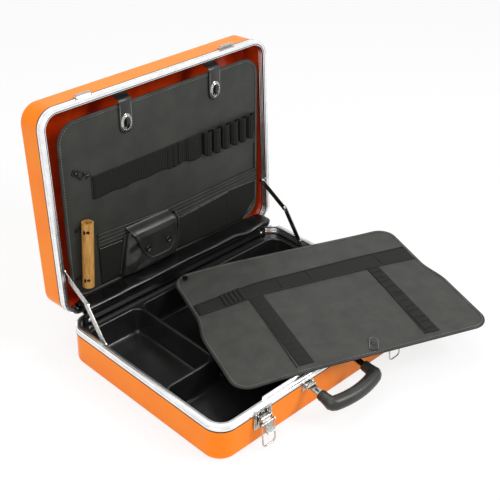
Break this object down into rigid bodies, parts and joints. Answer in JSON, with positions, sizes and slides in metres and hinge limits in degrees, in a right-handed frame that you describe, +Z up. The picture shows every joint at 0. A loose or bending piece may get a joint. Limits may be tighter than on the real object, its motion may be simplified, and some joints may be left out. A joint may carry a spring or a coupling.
{
  "type": "tool case",
  "caption": "Hard tool case, lid open on side stays, with a moulded tray, a fitted tool pallet in the lid and another pallet laid across the rim.",
  "frame": {"origin": "middle of the base's underside, on the table", "axes": "+X to the case's right seen from the front, +Y towards the hinges, +Z up"},
  "size_m": [0.5796, 0.5432, 0.4161],
  "materials": {
    "orange_shell": "glossy",
    "bright_frame": "polished",
    "tray_plastic": "fine leather grain, vacuum formed",
    "nickel_steel": "nickel plated",
    "black_vinyl": "grained vinyl on board",
    "gusset_vinyl": "soft glossy vinyl",
    "webbing": "woven",
    "pouch_leather": "glossy leather",
    "tube_card": "plain, lightly varnished",
    "grip_black": "moulded, satin"
  },
  "bodies": {
    "base": {"base_shell": "orange_shell", "base_frame": "bright_frame", "tray": "tray_plastic", "alignment_strip": "bright_frame", "latch_plates": "nickel_steel", "latch_pins": "nickel_steel", "handle_brackets": "nickel_steel", "handle_pins": "nickel_steel", "hinge_leaf_base": "nickel_steel", "hinge_pin": "nickel_steel", "stay_posts_base": "nickel_steel", "hinge_gusset": "gusset_vinyl", "gusset_studs_base": "nickel_steel"},
    "lid": {"lid_shell": "orange_shell", "lid_frame": "bright_frame", "hinge_leaf_lid": "nickel_steel", "stay_posts_lid": "nickel_steel", "gusset_studs_lid": "nickel_steel", "latch_catches": "nickel_steel", "strap_anchors": "nickel_steel"},
    "lid_pallet": {"lid_board": "black_vinyl", "lid_binding": "black_vinyl", "tool_loop_band": "webbing", "pocket_panel": "black_vinyl", "pocket_piping": "black_vinyl", "pouch": "pouch_leather", "tool_tube": "tube_card", "tube_ties": "webbing", "key_clip": "nickel_steel", "lid_straps": "pouch_leather", "turnlock_plates": "nickel_steel"},
    "flap": {"pouch_flap": "pouch_leather", "flap_snaps": "nickel_steel"},
    "knob_left": {"turnlock_knob_left": "nickel_steel"},
    "knob_right": {"turnlock_knob_right": "nickel_steel"},
    "lever_left": {"latch_lever_left": "nickel_steel"},
    "lever_right": {"latch_lever_right": "nickel_steel"},
    "bail_left": {"latch_bail_left": "nickel_steel"},
    "bail_right": {"latch_bail_right": "nickel_steel"},
    "handle": {"handle_arms": "nickel_steel", "handle_grip": "grip_black", "handle_band": "nickel_steel"},
    "stay_low_left": {"stay_lower_left": "nickel_steel"},
    "stay_low_right": {"stay_lower_right": "nickel_steel"},
    "stay_up_left": {"stay_upper_left": "nickel_steel", "elbow_rivet_left": "nickel_steel"},
    "stay_up_right": {"stay_upper_right": "nickel_steel", "elbow_rivet_right": "nickel_steel"},
    "pallet_link": {"pallet_eyelet": "nickel_steel"},
    "loose_pallet": {"loose_board": "black_vinyl", "loose_binding": "black_vinyl", "loose_band_long": "webbing", "loose_band_left": "webbing", "loose_band_right": "webbing", "loose_tab": "pouch_leather", "loose_tab_snap": "pouch_leather"}
  },
  "joints": [
    {"name": "lid_hinge", "type": "hinge", "parent": "base", "child": "lid", "pos_m": [0, 0.1739, 0.066], "axis": [1, 0, 0], "range_deg": [0, 95], "deforming": ["hinge_gusset"]},
    {"name": "pallet_swing", "type": "hinge", "parent": "base", "child": "pallet_link", "pos_m": [-0.10441, 0.12741, 0.071], "axis": [0, 0, 1], "range_deg": [-190.1, 0]},
    {"name": "pallet_turn", "type": "hinge", "parent": "pallet_link", "child": "loose_pallet", "pos_m": [-0.01927, 0.13167, 0.071], "axis": [0, 0, 1], "range_deg": [0, 211.6]},
    {"name": "lid_pallet_slide", "type": "slide", "parent": "lid", "child": "lid_pallet", "axis": [0, 0.9962, -0.0872], "range_m": [0, 0.0181]},
    {"name": "stay_low_left_pivot", "type": "hinge", "parent": "base", "child": "stay_low_left", "pos_m": [-0.2214, 0.092, 0.061], "axis": [1, 0, 0], "range_deg": [0, 119.01]},
    {"name": "stay_up_left_pivot", "type": "hinge", "parent": "lid", "child": "stay_up_left", "pos_m": [-0.2199, 0.18946, 0.14635], "axis": [1, 0, 0], "range_deg": [-120.67, 0]},
    {"name": "stay_low_right_pivot", "type": "hinge", "parent": "base", "child": "stay_low_right", "pos_m": [0.2214, 0.092, 0.061], "axis": [1, 0, 0], "range_deg": [0, 119.01]},
    {"name": "stay_up_right_pivot", "type": "hinge", "parent": "lid", "child": "stay_up_right", "pos_m": [0.2199, 0.18946, 0.14635], "axis": [1, 0, 0], "range_deg": [-120.67, 0]},
    {"name": "lever_left_pivot", "type": "hinge", "parent": "base", "child": "lever_left", "pos_m": [-0.146, -0.179, 0.046], "axis": [1, 0, 0], "range_deg": [-30, 12]},
    {"name": "bail_left_swing", "type": "hinge", "parent": "lever_left", "child": "bail_left", "pos_m": [-0.146, -0.184, 0.04], "axis": [-1, 0, 0], "range_deg": [0, 165]},
    {"name": "lever_right_pivot", "type": "hinge", "parent": "base", "child": "lever_right", "pos_m": [0.146, -0.179, 0.046], "axis": [1, 0, 0], "range_deg": [-30, 12]},
    {"name": "bail_right_swing", "type": "hinge", "parent": "lever_right", "child": "bail_right", "pos_m": [0.146, -0.184, 0.04], "axis": [-1, 0, 0], "range_deg": [0, 105]},
    {"name": "handle_pivot", "type": "hinge", "parent": "base", "child": "handle", "pos_m": [0.0005, -0.1785, 0.049], "axis": [-1, 0, 0], "range_deg": [0, 18]},
    {"name": "turnlock_left_turn", "type": "hinge", "parent": "lid_pallet", "child": "knob_left", "pos_m": [-0.076, 0.20063, 0.35138], "axis": [0, -0.999, 0.0443], "range_deg": [0, 90]},
    {"name": "turnlock_right_turn", "type": "hinge", "parent": "lid_pallet", "child": "knob_right", "pos_m": [0.111, 0.20063, 0.35138], "axis": [0, -0.999, 0.0443], "range_deg": [0, 90]},
    {"name": "pouch_flap_fold", "type": "hinge", "parent": "lid_pallet", "child": "flap", "pos_m": [-0.044, 0.17768, 0.17022], "axis": [1, 0, 0], "range_deg": [-100, 0]}
  ],
  "couplings": [
    {"joint": "pallet_swing", "follows": "lid_hinge", "ratio": -2},
    {"joint": "pallet_turn", "follows": "lid_hinge", "ratio": 2.2263},
    {"joint": "lid_pallet_slide", "follows": "lid_hinge", "m_per_rad": 0.010856},
    {"joint": "stay_low_left_pivot", "follows": "lid_hinge", "ratio": 1.2516},
    {"joint": "stay_up_left_pivot", "follows": "lid_hinge", "ratio": -1.2691},
    {"joint": "stay_low_right_pivot", "follows": "lid_hinge", "ratio": 1.2516},
    {"joint": "stay_up_right_pivot", "follows": "lid_hinge", "ratio": -1.2691}
  ]
}
